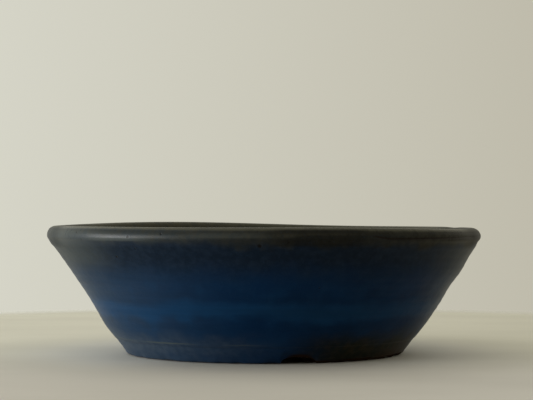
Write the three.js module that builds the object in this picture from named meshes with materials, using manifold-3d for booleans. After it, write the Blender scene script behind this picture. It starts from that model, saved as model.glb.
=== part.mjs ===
import * as THREE from "three";
import { mergeVertices } from "three/addons/utils/BufferGeometryUtils.js";
import Module from "manifold-3d";

// A shallow round bonsai pot in the rustic southern style: one hand-thrown stoneware body with a
// rolled lip and a notched foot ring. Three drain holes go through its floor, and each is covered
// by a plastic screen that a clip of bent wire holds down.
// Millimetres, +Z up. The origin is on the ground under the middle of the pot, and -Y is its front.

// Body, outside
const RIM_RADIUS = 100; // to the widest point of the lip
const HEIGHT = 58.5; // ground to the top of the lip, on average
const HIP_RADIUS = 73.8; // the wall turns in here towards the foot
const HIP_HEIGHT = 13;
const HIP_ROUND = 5; // how far the hip's rounding runs along each side of it
const FOOT_RADIUS = 63.5;
const FOOT_WIDTH = 9;
const FOOT_EDGE = 1; // rounding of the ring's two lower edges
const FOOT_BAND = 7.2; // height of the band that was pared round the foot
const FOOT_LEDGE = 0.6; // the paring cut in this far under the wall

// Body, inside
const WALL = 6; // square to the wall's face
const LIP_SWELL = 2.4; // the rolled lip is this much thicker than the wall
const LIP_CREASE = 0.35; // depth of the crease where the lip was folded over
const LIP_CREASE_ANGLE = 34; // degrees below the widest point of the lip
const FLOOR = 6.5;
const FLOOR_ROUND = 5; // how far the rounding between floor and wall runs along each
const RECESS = 6; // hollow under the floor, inside the foot ring
const RECESS_ROUND = 2;
const RECESS_DRAFT = 0.8; // the ring's inner face leans out this much

// Holes and notches
const DRAIN_COUNT = 3;
const DRAIN_RADIUS = 9;
const DRAIN_SPREAD = 8; // clear floor between the corners of neighbouring screens
const DRAIN_FIRST = 90; // degrees from +X
const DRAIN_SOFTENING = 0.8; // wet edges wiped round with a finger
const TIE_RADIUS = 2; // holes for the wires that tie a tree down
const TIE_CIRCLE = 38;
const NOTCH_COUNT = 3; // water runs out through these
const NOTCH_WIDTH = 15.5;
const NOTCH_HEIGHT = 2.6;
const NOTCH_FIRST = -76.6; // degrees from +X

// The maker's hand: how far the body strays from a true turned form
const WALL_HOLLOW = 0.3; // the wall is hollowed this much between hip and lip
const HOLLOW_SWING = { size: 0.6, at: 180 }; // and more so on one side
const HOLLOW_SKEW = 0.75; // under 1, the hollow is deepest below the middle of the wall
const THROWING_WAVE = 0.32; // the fingers left slow waves in the wall
const THROWING_SPACING = 16; // height between their crests
const THROWING_CREST = 39; // height of one of them
const LEAN = { size: 0.55, at: 180 }; // the mouth sits a little to one side of the foot
const OVAL = { size: 0.3, at: 0 };
const LIP_WAVES = [
  { count: 1, size: 0.83, at: -160 },
  { count: 2, size: 0.45, at: -69 },
  { count: 3, size: 0.21, at: 8 },
  { count: 4, size: 0.22, at: 27 },
];

// Screens and clips
const SCREEN_THICKNESS = 1.2;
const SCREEN_PITCH = 3.6; // from strand to strand, before it is fitted to the clip's legs
const SCREEN_STRAND = 0.9;
const SCREEN_LAP = 7; // it lies this far past the hole on each side
const WIRE_RADIUS = 0.6;
const CLIP_LOOP = 3.2; // radius of the clip's two loops
const CLIP_BEND = 1.5; // radius of its right-angled bends
const CLIP_TOE = 8; // length bent outwards under the floor
const SEAT = 0.3; // clearance between pieces that lie on or pass each other

// Facets
const TURN_STEPS = 84; // around the body
const WALL_STEP = 4.2; // along its walls
const HOLE_STEPS = 32;
const TIE_STEPS = 16;
const ROUND_STEPS = 3; // along a rounding of the section
const LIP_STEPS = 11;
const WIRE_SIDES = 7;
const BEND_STEPS = 4;
const LOOP_STEPS = 14;

const wasm = await Module();
wasm.setup();

const floorTop = RECESS + FLOOR;
const turn = THREE.MathUtils.degToRad;
const rise = (low, high, value) => THREE.MathUtils.smoothstep(value, low, high);

// The clip's legs go down through two openings of the screen, close inside the hole's wall. The
// screen's pitch is drawn out a little, so that the middles of openings lie where the legs are.
const legReach = DRAIN_RADIUS - WIRE_RADIUS - SEAT;
const legOpenings = Math.max(1, Math.round(Math.sqrt((legReach / SCREEN_PITCH) ** 2 - 1)));
const pitch = legReach / Math.hypot(legOpenings, 1);
const openingsEachWay = Math.ceil((DRAIN_RADIUS + SCREEN_LAP) / pitch - 0.5);
const screenSide = (2 * openingsEachWay + 1) * pitch + SCREEN_STRAND;

// The drain holes lie on the circle that keeps the screens' corners apart
const halfSector = Math.PI / DRAIN_COUNT;
const cornerReach = (screenSide / 2) * Math.cos(halfSector) + DRAIN_SPREAD / 2;
const drainCircle = screenSide / 2 + cornerReach / Math.sin(halfSector);

// A geometry as a solid for cutting, and a cut solid back as a geometry
function solidOf(geometry) {
  const bare = new THREE.BufferGeometry();
  bare.setAttribute("position", geometry.getAttribute("position"));
  bare.setIndex(geometry.index);
  const merged = mergeVertices(bare, 1e-3);
  return new wasm.Manifold(
    new wasm.Mesh({
      numProp: 3,
      vertProperties: merged.getAttribute("position").array,
      triVerts: new Uint32Array(merged.index.array),
    }),
  );
}

function geometryOf(solid) {
  const mesh = solid.getMesh();
  const geometry = new THREE.BufferGeometry();
  geometry.setAttribute("position", new THREE.BufferAttribute(mesh.vertProperties, 3));
  geometry.setIndex(new THREE.BufferAttribute(mesh.triVerts, 1));
  geometry.computeVertexNormals();
  return geometry;
}

// Adds a corner to a path, rounded over the given distance along each side of it
function roundedCorner(path, corner, next, round) {
  const from = path.currentPoint.clone();
  const before = corner.clone().lerp(from, round / corner.distanceTo(from));
  const after = corner.clone().lerp(next, round / corner.distanceTo(next));
  path.lineTo(before.x, before.y);
  path.quadraticCurveTo(corner.x, corner.y, after.x, after.y);
}

// The true section of the body, as radius and height: from the middle of the underside,
// round the foot ring, up the wall, over the lip and down the inside to the middle of the floor
function bodySection() {
  const lipRadius = (WALL + LIP_SWELL) / 2;
  const lip = new THREE.Vector2(RIM_RADIUS - lipRadius, HEIGHT - lipRadius);
  const creaseTurn = -turn(LIP_CREASE_ANGLE);
  const outward = new THREE.Vector2(Math.cos(creaseTurn), Math.sin(creaseTurn));

  const ringInside = new THREE.Vector2(FOOT_RADIUS - FOOT_WIDTH, RECESS);
  const ringInner = new THREE.Vector2(ringInside.x + RECESS_DRAFT, 0);
  const ringOuter = new THREE.Vector2(FOOT_RADIUS, 0);
  const hip = new THREE.Vector2(HIP_RADIUS, HIP_HEIGHT);
  const crease = lip.clone().addScaledVector(outward, lipRadius - LIP_CREASE);

  const up = crease.clone().sub(hip).normalize();
  const inward = new THREE.Vector2(-up.y, up.x);
  const innerWall = hip.clone().addScaledVector(inward, WALL);
  const floorEdge = innerWall.clone().addScaledVector(up, (floorTop - innerWall.y) / up.y);
  const lipInset = lip.clone().sub(innerWall).dot(inward) * -1;
  const lipEnd = Math.atan2(inward.y, inward.x) + Math.acos(lipInset / lipRadius);

  const path = new THREE.Path();
  path.moveTo(0, RECESS);
  roundedCorner(path, ringInside, ringInner, RECESS_ROUND);
  roundedCorner(path, ringInner, ringOuter, FOOT_EDGE);
  roundedCorner(path, ringOuter, hip, FOOT_EDGE);
  const bandTop = ringOuter.clone().lerp(hip, FOOT_BAND / HIP_HEIGHT);
  path.lineTo(bandTop.x - FOOT_LEDGE / 2, bandTop.y);
  path.lineTo(bandTop.x + FOOT_LEDGE / 2, bandTop.y + FOOT_LEDGE / 2);
  roundedCorner(path, hip, crease, HIP_ROUND);
  path.lineTo(crease.x, crease.y);
  path.absarc(lip.x, lip.y, lipRadius, creaseTurn, lipEnd, false);
  roundedCorner(path, floorEdge, new THREE.Vector2(0, floorTop), FLOOR_ROUND);
  path.lineTo(0, floorTop);
  return path;
}

// A path's points, with the stretches between its corners cut into even steps
function sectionPoints(path) {
  const points = [new THREE.Vector2().copy(path.curves[0].getPoint(0))];
  for (const curve of path.curves) {
    const straight = curve.isLineCurve;
    const flat = straight && curve.v1.y === curve.v2.y;
    let steps = ROUND_STEPS;
    if (straight) steps = flat ? 1 : Math.max(1, Math.round(curve.getLength() / WALL_STEP));
    if (curve.isEllipseCurve) steps = LIP_STEPS;
    points.push(...curve.getPoints(steps).slice(1));
  }
  return points.filter((p, i) => i === 0 || p.distanceTo(points[i - 1]) > SEAT / 10);
}

// Moves a point of the turned form to where the maker's hand left it. The ground, the foot ring
// and the floor stay true, so that the pot stands level.
function byHand(point) {
  const angle = Math.atan2(point.y, point.x);
  const radius = Math.hypot(point.x, point.y);
  const wave = ({ count, size, at }) => size * Math.cos(count * (angle - turn(at)));
  const share = THREE.MathUtils.clamp((point.z - HIP_HEIGHT) / (HEIGHT - HIP_HEIGHT), 0, 1);
  const grown = rise(0, 1, share);
  const crests = Math.cos((2 * Math.PI * (point.z - THROWING_CREST)) / THROWING_SPACING);
  let out = THROWING_WAVE * crests * Math.sin(Math.PI * share);
  out -= (WALL_HOLLOW + wave({ count: 1, ...HOLLOW_SWING })) * Math.sin(Math.PI * share ** HOLLOW_SKEW);
  out += (wave({ count: 1, ...LEAN }) + wave({ count: 2, ...OVAL })) * grown;
  const lift = LIP_WAVES.reduce((sum, lipWave) => sum + wave(lipWave), 0) * grown;
  const stretch = radius > 0 ? (radius + out) / radius : 1;
  return point.set(point.x * stretch, point.y * stretch, point.z + lift);
}

function turnedBody() {
  const geometry = new THREE.LatheGeometry(sectionPoints(bodySection()), TURN_STEPS);
  geometry.rotateX(Math.PI / 2);
  const places = geometry.getAttribute("position");
  const point = new THREE.Vector3();
  for (let i = 0; i < places.count; i++) {
    byHand(point.fromBufferAttribute(places, i));
    places.setXYZ(i, point.x, point.y, point.z);
  }
  return solidOf(geometry);
}

// A cutter for a hole through the floor, widened at both faces by the softening
function holeCutter(radius, softening, steps) {
  const past = 2;
  const section = [
    [0, RECESS - past],
    [radius + softening, RECESS - past],
    [radius + softening, RECESS],
    [radius, RECESS + softening],
    [radius, floorTop - softening],
    [radius + softening, floorTop],
    [radius + softening, floorTop + past],
    [0, floorTop + past],
  ].map(([r, z]) => new THREE.Vector2(r, z));
  const geometry = new THREE.LatheGeometry(section, steps);
  return solidOf(geometry.rotateX(Math.PI / 2));
}

// A cutter for a low arch through the foot ring, lying along +X
function notchCutter() {
  const below = 2;
  const half = NOTCH_WIDTH / 2;
  const arch = new THREE.Shape();
  arch.moveTo(-half, -below);
  arch.lineTo(half, -below);
  arch.lineTo(half, 0);
  arch.quadraticCurveTo(half * 0.86, NOTCH_HEIGHT, half * 0.4, NOTCH_HEIGHT);
  arch.lineTo(-half * 0.4, NOTCH_HEIGHT);
  arch.quadraticCurveTo(-half * 0.86, NOTCH_HEIGHT, -half, 0);
  const inside = FOOT_RADIUS - FOOT_WIDTH - below;
  const geometry = new THREE.ExtrudeGeometry(arch, {
    depth: HIP_RADIUS + below - inside,
    bevelEnabled: false,
    curveSegments: ROUND_STEPS + 1,
  });
  geometry.rotateX(Math.PI / 2);
  geometry.rotateZ(Math.PI / 2);
  geometry.translate(inside, 0, 0);
  return solidOf(geometry);
}

// Copies of a cutter, evenly spaced on a circle round the pot's axis
function ringOf(cutter, count, circle, first) {
  const copies = [];
  for (let i = 0; i < count; i++) {
    const angle = first + (360 * i) / count;
    copies.push(cutter.translate([circle, 0, 0]).rotate([0, 0, angle]));
  }
  return copies;
}

function potBody() {
  const drain = holeCutter(DRAIN_RADIUS, DRAIN_SOFTENING, HOLE_STEPS);
  const tie = holeCutter(TIE_RADIUS, 0, TIE_STEPS);
  const cutters = [
    ...ringOf(drain, DRAIN_COUNT, drainCircle, DRAIN_FIRST),
    ...ringOf(tie, DRAIN_COUNT, TIE_CIRCLE, DRAIN_FIRST + 180 / DRAIN_COUNT),
    ...ringOf(notchCutter(), NOTCH_COUNT, 0, NOTCH_FIRST),
  ];
  let body = turnedBody();
  for (const cutter of cutters) body = body.subtract(cutter);
  return geometryOf(body);
}

function drainScreen() {
  const opening = solidOf(
    new THREE.BoxGeometry(pitch - SCREEN_STRAND, pitch - SCREEN_STRAND, 2 * SCREEN_THICKNESS),
  );
  const openings = [];
  for (let i = -openingsEachWay; i <= openingsEachWay; i++) {
    for (let j = -openingsEachWay; j <= openingsEachWay; j++) {
      openings.push(opening.translate([i * pitch, j * pitch, 0]));
    }
  }
  const sheet = solidOf(new THREE.BoxGeometry(screenSide, screenSide, SCREEN_THICKNESS));
  const net = sheet.subtract(wasm.Manifold.union(openings));
  return geometryOf(net.translate([0, 0, SCREEN_THICKNESS / 2]));
}

// A wire's centre line through given points, with one step of an extrusion from each to the next
class CentreLine extends THREE.Curve {
  constructor(points) {
    super();
    this.points = points;
  }
  getPoint(t, target = new THREE.Vector3()) {
    const place = t * (this.points.length - 1);
    const step = Math.min(Math.floor(place), this.points.length - 2);
    return target.lerpVectors(this.points[step], this.points[step + 1], place - step);
  }
  getUtoTmapping(u) {
    return u;
  }
}

// Half of a clip's centre line: from the middle of the straight part that lies on the screen, round
// a loop that climbs over it, down a leg through the hole, and out along the underside as a toe.
// Heights are from the ground.
function halfClipLine() {
  const lying = floorTop + SEAT + SCREEN_THICKNESS + SEAT + WIRE_RADIUS;
  const over = lying + 2 * WIRE_RADIUS + SEAT;
  const under = RECESS - SEAT - WIRE_RADIUS;
  const legX = -legOpenings * pitch;
  const legY = -pitch;
  const loopX = legX - CLIP_LOOP;
  const line = [new THREE.Vector3(0, 0, lying)];
  for (let i = 0; i <= LOOP_STEPS; i++) {
    const share = i / LOOP_STEPS;
    const angle = -Math.PI / 2 - share * 1.5 * Math.PI;
    const x = loopX + CLIP_LOOP * Math.cos(angle);
    const y = CLIP_LOOP + CLIP_LOOP * Math.sin(angle);
    line.push(new THREE.Vector3(x, y, THREE.MathUtils.lerp(lying, over, rise(0.3, 1, share))));
  }
  for (let i = 0; i <= BEND_STEPS; i++) {
    const angle = (i / BEND_STEPS) * (Math.PI / 2);
    const y = legY + CLIP_BEND * (1 - Math.sin(angle));
    line.push(new THREE.Vector3(legX, y, over - CLIP_BEND * (1 - Math.cos(angle))));
  }
  for (let i = 0; i <= BEND_STEPS; i++) {
    const angle = (i / BEND_STEPS) * (Math.PI / 2);
    const x = legX - CLIP_BEND * (1 - Math.cos(angle));
    line.push(new THREE.Vector3(x, legY, under + CLIP_BEND * (1 - Math.sin(angle))));
  }
  line.push(new THREE.Vector3(legX - CLIP_TOE, legY, under));
  return line;
}

function screenClip() {
  const half = halfClipLine();
  const otherHalf = half.slice(1).map((p) => new THREE.Vector3(-p.x, -p.y, p.z));
  const line = [...otherHalf.reverse(), ...half.slice(1)];
  const section = new THREE.Shape();
  for (let i = 0; i < WIRE_SIDES; i++) {
    const angle = (2 * Math.PI * i) / WIRE_SIDES;
    const place = [WIRE_RADIUS * Math.cos(angle), WIRE_RADIUS * Math.sin(angle)];
    if (i === 0) section.moveTo(...place);
    else section.lineTo(...place);
  }
  return new THREE.ExtrudeGeometry(section, {
    steps: line.length - 1,
    extrudePath: new CentreLine(line),
  });
}

const glaze = new THREE.MeshStandardMaterial({ color: 0x16304c, roughness: 0.42, metalness: 0 });
const netting = new THREE.MeshStandardMaterial({ color: 0x17181a, roughness: 0.6, metalness: 0 });
const wire = new THREE.MeshStandardMaterial({ color: 0x8a5a3c, roughness: 0.4, metalness: 0.9 });

function piece(name, geometry, material) {
  const mesh = new THREE.Mesh(geometry, material);
  mesh.name = name;
  return mesh;
}

const pot = new THREE.Group();
pot.add(piece("pot_body", potBody(), glaze));
for (let i = 0; i < DRAIN_COUNT; i++) {
  const angle = turn(DRAIN_FIRST + (360 * i) / DRAIN_COUNT);
  const drain = new THREE.Group();
  drain.position.set(drainCircle * Math.cos(angle), drainCircle * Math.sin(angle), 0);
  drain.rotation.z = angle + Math.PI / 2;
  const screen = piece(`drain_screen_${i + 1}`, drainScreen(), netting);
  screen.position.z = floorTop + SEAT;
  drain.add(screen, piece(`screen_clip_${i + 1}`, screenClip(), wire));
  pot.add(drain);
}

export default pot;
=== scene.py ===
import math

import bmesh
import bpy
from mathutils import Matrix, Vector, noise


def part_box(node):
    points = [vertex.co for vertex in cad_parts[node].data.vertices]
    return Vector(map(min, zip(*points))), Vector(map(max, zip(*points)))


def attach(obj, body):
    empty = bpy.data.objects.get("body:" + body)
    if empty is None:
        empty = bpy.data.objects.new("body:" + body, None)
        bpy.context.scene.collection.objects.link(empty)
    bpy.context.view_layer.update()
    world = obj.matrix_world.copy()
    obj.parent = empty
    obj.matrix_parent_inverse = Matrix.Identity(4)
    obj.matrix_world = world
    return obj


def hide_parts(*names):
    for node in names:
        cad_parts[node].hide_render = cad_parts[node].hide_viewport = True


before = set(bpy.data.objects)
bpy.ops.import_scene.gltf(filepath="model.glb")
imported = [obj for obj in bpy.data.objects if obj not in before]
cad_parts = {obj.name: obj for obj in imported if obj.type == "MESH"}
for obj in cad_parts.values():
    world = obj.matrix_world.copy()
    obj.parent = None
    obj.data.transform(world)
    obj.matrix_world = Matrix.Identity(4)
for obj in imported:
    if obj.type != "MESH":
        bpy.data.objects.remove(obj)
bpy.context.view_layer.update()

# A shallow round bonsai pot of hand-thrown stoneware with a dark blue glaze. Mesh screens held by
# bent wire clips cover its drain holes. Metres, +Z up, the front of the pot towards -Y. Directions
# round the pot are in degrees from +X, and the front is at -90.

MM = 0.001

# The body's turned form, as in the solids
RIM_RADIUS = 100 * MM  # to the widest point of the lip
HEIGHT = 58.5 * MM  # ground to the top of the lip, on average
HIP_RADIUS = 73.8 * MM  # the wall turns in here towards the foot
HIP_HEIGHT = 13 * MM
HIP_ROUND = 5 * MM  # how far the hip's rounding runs along each side of it
FOOT_RADIUS = 63.5 * MM
FOOT_WIDTH = 9 * MM
FOOT_EDGE = 1 * MM  # rounding of the ring's two lower edges
FOOT_BAND = 7.2 * MM  # height of the band that was pared round the foot
FOOT_LEDGE = 0.6 * MM  # the paring cut in this far under the wall
WALL = 6 * MM  # square to the wall's face
LIP_SWELL = 2.4 * MM  # the rolled lip is this much thicker than the wall
LIP_CREASE = 0.35 * MM  # depth of the crease where the lip was rolled over
LIP_CREASE_ANGLE = 34  # degrees below the widest point of the lip
LIP_EASE = 28  # degrees of the lip's round in which it swells up from the crease
FLOOR = 6.5 * MM
FLOOR_ROUND = 5 * MM
RECESS = 6 * MM  # hollow under the floor, inside the foot ring
RECESS_ROUND = 2 * MM
RECESS_DRAFT = 0.8 * MM  # the ring's inner face leans out this much
FLOOR_TOP = RECESS + FLOOR

# How far the outer face runs outwards for each unit upwards, under the hip and over it
FOOT_SLOPE = (HIP_RADIUS - FOOT_RADIUS) / HIP_HEIGHT
WALL_SLOPE = 0.641

# Holes and notches, each kind evenly spaced round the pot
HOLE_COUNT = 3  # of drain holes, of tie holes and of notches
HOLE_TURN = 360 / HOLE_COUNT
DRAIN_FIRST = 90
DRAIN_RADIUS = 9 * MM
DRAIN_SOFTENING = 0.8 * MM  # wet edges wiped round with a finger
TIE_RADIUS = 2 * MM  # holes for the wires that tie a tree down
TIE_SOFTENING = 0.4 * MM
TIE_CIRCLE = 38 * MM
NOTCH_FIRST = -76.6
NOTCH_WIDTH = 15.5 * MM
NOTCH_HEIGHT = 2.6 * MM
NOTCH_FULLNESS = 2.5  # 2 is half an ellipse, and more is squarer

# The maker's hand, large waves as in the solids. Those round the pot have a count, size and
# direction. Only the throwing waves differ: they are as strong as the solids' on the right alone.
WALL_HOLLOW = 0.3 * MM  # the wall is hollowed this much between hip and lip
HOLLOW_SWING = (1, 0.6 * MM, 180)
HOLLOW_SKEW = 0.75  # under 1, the hollow is deepest below the middle of the wall
THROWING_WAVE = 0.18 * MM  # the fingers left slow waves in the wall
THROWING_SWING = (1, 0.14 * MM, 0)
THROWING_SPACING = 16 * MM
THROWING_CREST = 39 * MM  # height of one of them
LEAN = (1, 0.55 * MM, 180)  # the mouth sits a little to one side of the foot
OVAL = (2, 0.3 * MM, 0)
LIP_WAVES = ((1, 0.83 * MM, -160), (2, 0.45 * MM, -69), (3, 0.21 * MM, 8), (4, 0.22 * MM, 27))

# The maker's hand, small marks: uneven clay, and the rings that fingers and a paring tool left
LUMP = 0.22 * MM
LUMP_SIZE = 24 * MM
SMALL_LUMPS = 0.4  # as a share of the large ones' depth
SMALL_LUMP_SIZE = 0.35 * LUMP_SIZE
LUMPS_ON_LIP = 0.3  # the lip was smoothed, and keeps this share of them
OUTER_RING = 0.05 * MM
OUTER_RING_SPACING = 3.3 * MM
INNER_RING = 0.22 * MM
INNER_RING_SPACING = 6.5 * MM
FLOOR_RING = 0.12 * MM
PARING_RING = 0.06 * MM
PARING_SPACING = 2.6 * MM
MARKS_BEGIN = (HIP_HEIGHT, HIP_HEIGHT + 6 * MM)  # heights over which they fade in
MARKS_END = (HEIGHT - 9 * MM, HEIGHT - 5 * MM)  # and fade out towards the lip
NEAR = 0.1 * MM  # a point this near to the floor is on it

# The crease where the lip was folded over at the front right. It comes down from its left end.
FOLD_DEPTH = 0.5 * MM
FOLD_HALF_WIDTH = 0.45 * MM
FOLD_HEIGHT = 54.05 * MM
FOLD_CLIMB = 1.2 * MM
FOLD_FROM = -63
FOLD_TO = -18
FOLD_CURL = 5  # degrees in which it comes down, and in which it fades at its ends

# Uneven wear of the foot's lower edge
EDGE_WEAR = 0.45 * MM
WEAR_SIZE = 5 * MM
WEAR_SPREAD = 0.15  # from -1, nowhere, to 1, everywhere
WEAR_FADE = (0.4 * MM, 2.2 * MM)

# Swells and hollows of the outer face: height, half width and size
FOOT_SWELL = (0.3 * MM, 1.6 * MM, 0.38 * MM)
HIP_SWELL = (16 * MM, 6 * MM, 0.35 * MM)
NECK_SWELL = (50.8 * MM, 2.2 * MM, 0.5 * MM)
NECK_HOLLOW = (52.4 * MM, 2 * MM, 0.55 * MM)

# Rises and dents of the lip's top: direction, half width in degrees, and size
LIP_DENTS = ((-2, 9, 0.2 * MM), (18, 4, -0.3 * MM))

# Pits in the glaze that show in front: direction, height and size
PITS = (
    (-91.2, 51.5 * MM, 1.2 * MM), (-84.4, 53 * MM, 0.9 * MM), (-115.7, 56.3 * MM, 0.7 * MM),
    (-125.2, 54.9 * MM, 0.7 * MM), (-144.5, 56.4 * MM, 0.6 * MM), (-131.8, 46.2 * MM, 0.7 * MM),
)

# The lip lies this much lower and further in than the solids', so that no mark passes them
SETTLING = 0.08 * MM

# Screens and clips
SCREEN_THICKNESS = 1.2 * MM
SCREEN_STRAND = 0.9 * MM
SCREEN_EDGE = 0.24 * MM  # rounding of the strands
OPENINGS = 9  # along each side of a screen
LEG_OPENINGS = 2  # from the middle opening to the one that a clip's leg goes through
WIRE_RADIUS = 0.6 * MM
CLIP_LOOP = 3.2 * MM  # radius of the clip's two loops
LOOP_TURN = 270
LOOP_FLAT = 81  # degrees of a loop before it climbs over the wire's straight part
CLIP_BEND = 1.5 * MM  # radius of its right-angled bends
CLIP_TOE = 8 * MM  # length bent outwards under the floor
SEAT = 0.3 * MM  # clearance between pieces that lie on or pass each other
PITCH = (DRAIN_RADIUS - WIRE_RADIUS - SEAT) / math.hypot(LEG_OPENINGS, 1)

# Fineness
TURN_STEPS = 360  # columns of faces round the body
NOTCH_CROWDING = 0.5  # at the notches they are this share closer together
FINE_STEP = 1.0 * MM  # along the walls
FLAT_STEP = 3 * MM  # along the floor
LEDGE_STEP = 0.2 * MM  # across the ledge over the foot band
ROUND_STEPS = 7  # along a rounding of the section
LIP_STEPS = 50
HOLE_STEPS = 64
WIRE_SIDES = 14
LOOP_STEP = 9  # degrees of a clip's loop
BEND_STEPS = 8
SAME_POINT = 0.001 * MM
SHARP_ANGLE = 38  # edges that turn by more degrees stay sharp

# Camera, from the photograph's own frame
PHOTO_WIDTH = 533
FOCAL_PIXELS = 1829
HORIZON_DROP = 1  # pixels from the middle of the frame down to the horizon
SENSOR = 36
CAMERA_PLACE = (0.7 * MM, -850 * MM, 70 * MM)


# Shader sums as Python expressions


class Value:
    """One output of some nodes. Sums on it add the nodes that work them out."""

    def __init__(self, nodes, socket):
        self.nodes = nodes
        self.socket = socket

    def math(self, operation, *others):
        """A math node's answer for this value and others."""
        inputs = dict(enumerate((self, *others)))
        return self.nodes.add("ShaderNodeMath", {"operation": operation}, inputs)

    def __add__(self, other):
        return self.math("ADD", other)

    def __sub__(self, other):
        return self.math("SUBTRACT", other)

    def __neg__(self):
        return self * -1

    def __rsub__(self, other):
        return -self + other

    def __mul__(self, other):
        return self.math("MULTIPLY", other)

    def __truediv__(self, other):
        return self.math("DIVIDE", other)

    __radd__ = __add__
    __rmul__ = __mul__

    def rise(self, low, high):
        """0 under low, 1 over high, and smooth between them."""
        return self.nodes.add(
            "ShaderNodeMapRange", {"interpolation_type": "SMOOTHSTEP"}, {0: self, 1: low, 2: high}
        )

    def fall(self, low, high):
        """1 under low, 0 over high, and smooth between them."""
        return 1 - self.rise(low, high)

    def band(self, low, high, soft):
        """1 between low and high, 0 outside, with soft edges."""
        return self.rise(low - soft, low + soft) * self.fall(high - soft, high + soft)


class Nodes:
    """The nodes of a material or of the world, which vary with place or direction."""

    def __init__(self, owner, shader, coordinate):
        owner.use_nodes = True
        self.tree = owner.node_tree
        self.shader = self.tree.nodes[shader]
        self.place = self.add("ShaderNodeTexCoord", {}, {}, coordinate)
        self.x, self.y, self.z = (
            self.add("ShaderNodeSeparateXYZ", {}, {0: self.place}, axis) for axis in "XYZ"
        )

    def add(self, kind, settings, inputs, output=0):
        """A new node with these settings and inputs, as the value of one of its outputs."""
        node = self.tree.nodes.new(kind)
        for key, value in settings.items():
            setattr(node, key, value)
        for key, value in inputs.items():
            if isinstance(value, Value):
                self.tree.links.new(value.socket, node.inputs[key])
            else:
                node.inputs[key].default_value = value
        return Value(self, node.outputs[output])

    def mix(self, factor, first, second):
        """The first colour at a factor of 0, the second at 1, and both mixed between."""
        return self.add(
            "ShaderNodeMix", {"data_type": "RGBA"}, {0: factor, 6: first, 7: second}, 2
        )

    def surface(self, **inputs):
        """Sets the shader's sockets, named with _ for a space."""
        for key, value in inputs.items():
            socket = self.shader.inputs[key.replace("_", " ")]
            if isinstance(value, Value):
                self.tree.links.new(value.socket, socket)
            else:
                socket.default_value = value


class Finish(Nodes):
    """A material made of nodes round one shader."""

    def __init__(self, name):
        self.material = bpy.data.materials.new(name)
        super().__init__(self.material, "Principled BSDF", "Object")

    def noise(self, size, detail=3, stretch=(1, 1, 1)):
        """Soft patches of about the given size, near 0.5 on average, longer for a stretch under 1."""
        place = self.add(
            "ShaderNodeVectorMath", {"operation": "MULTIPLY"}, {0: self.place, 1: stretch}
        )
        return self.add(
            "ShaderNodeTexNoise", {}, {"Vector": place, "Scale": 1 / size, "Detail": detail}
        )

    def specks(self, spacing, size, share):
        """Round specks of the given size, about one spacing apart, in a share of the places."""
        cells = {"Vector": self.place, "Scale": 1 / spacing}
        distance = self.add("ShaderNodeTexVoronoi", {}, cells, "Distance")
        chance = self.add("ShaderNodeTexVoronoi", {}, cells, "Color")
        chosen = self.add("ShaderNodeSeparateXYZ", {}, {0: chance}, "X").rise(1 - share, 1.02 - share)
        return distance.fall(0.35 * size / spacing, size / spacing) * chosen

    def bump(self, height, distance, strength):
        """A surface that seems to rise and fall with the height, which is a share of the distance."""
        return self.add(
            "ShaderNodeBump", {}, {"Height": height, "Distance": distance, "Strength": strength}
        )


class RoundFinish(Finish):
    """A finish that follows the pot's round form."""

    def __init__(self, name):
        super().__init__(name)
        self.radius = (self.x * self.x + self.y * self.y).math("SQRT")
        self.right = self.x / self.radius
        self.back = self.y / self.radius

    def facing(self, degrees):
        """1 on the side of the pot that lies in that direction, -1 on the opposite one."""
        turn = math.radians(degrees)
        return self.right * math.cos(turn) + self.back * math.sin(turn)

    def pits(self, places):
        """Round pits, each given by its direction, its height and its size."""
        around = self.add(
            "ShaderNodeCombineXYZ", {},
            {0: self.right * RIM_RADIUS, 1: self.back * RIM_RADIUS, 2: self.z},
        )
        shown = 0
        for degrees, height, size in places:
            middle = turned_by(degrees, RIM_RADIUS, height).translation
            away = self.add(
                "ShaderNodeVectorMath", {"operation": "DISTANCE"}, {0: around, 1: middle}, "Value"
            )
            shown = away.fall(0.3 * size, size) + shown
        return shown


def colour(red, green, blue):
    """A display colour, 0 to 255, as the shader's light values."""
    parts = (v / 255 for v in (red, green, blue))
    return (*(v / 12.92 if v <= 0.04045 else ((v + 0.055) / 1.055) ** 2.4 for v in parts), 1)


# Finishes

# Blues of the wall
DEEP_BLUE = colour(4, 35, 66)
MID_BLUE = colour(5, 40, 75)
# Greyer blue for the left side: partly the glaze, partly painted light from the left
SLATY_AND_LIT_BLUE = colour(38, 57, 77)
RING_BLUE = colour(20, 66, 106)
CLOUD_BLUE = colour(16, 60, 98)
RUN_BLUE = colour(24, 62, 96)
BAND_BLUE = colour(4, 30, 52)
GRAIN_BLUE = colour(36, 64, 92)

# What the blue breaks to towards the lip and the foot
SLATE = (colour(17, 27, 38), colour(26, 37, 50))
# Ash at the foot, which on the left also stands in for painted sheen
ASH_AND_SHEEN = (colour(52, 67, 84), colour(67, 80, 94))
RUST = (colour(27, 31, 25), colour(46, 42, 30))
RUST_FLUSH = colour(62, 36, 6)
GREY_IRON = colour(46, 54, 58)
BROWN_IRON = colour(38, 37, 29)
IRON_MOTTLE = colour(60, 58, 48)
# A painted sheen on the wall's left side
SHEEN_GREY = colour(74, 81, 79)
# Thin glaze on the foot's ledge, with a painted highlight
THIN_AND_HIGHLIT_GREY = colour(80, 88, 84)

# The lip, its fold and the pits
CREST_OLIVE = colour(76, 75, 61)
POOLED_BLACK = colour(14, 15, 12)
# A painted glow and a painted sheen on the lip
GLOW_GREY = colour(88, 94, 92)
# Painted shade on the lip's lower half, blue in front and black where it is darkest
LIP_SHADE_BLUE = colour(8, 22, 34)
LIP_SHADE_BLACK = colour(10, 12, 12)
# Painted shade at the lip's two ends
END_SHADE = colour(14, 12, 8)
# Painted shade in the crease under the lip at the right
GROOVE_SHADE = colour(26, 20, 12)
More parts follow.
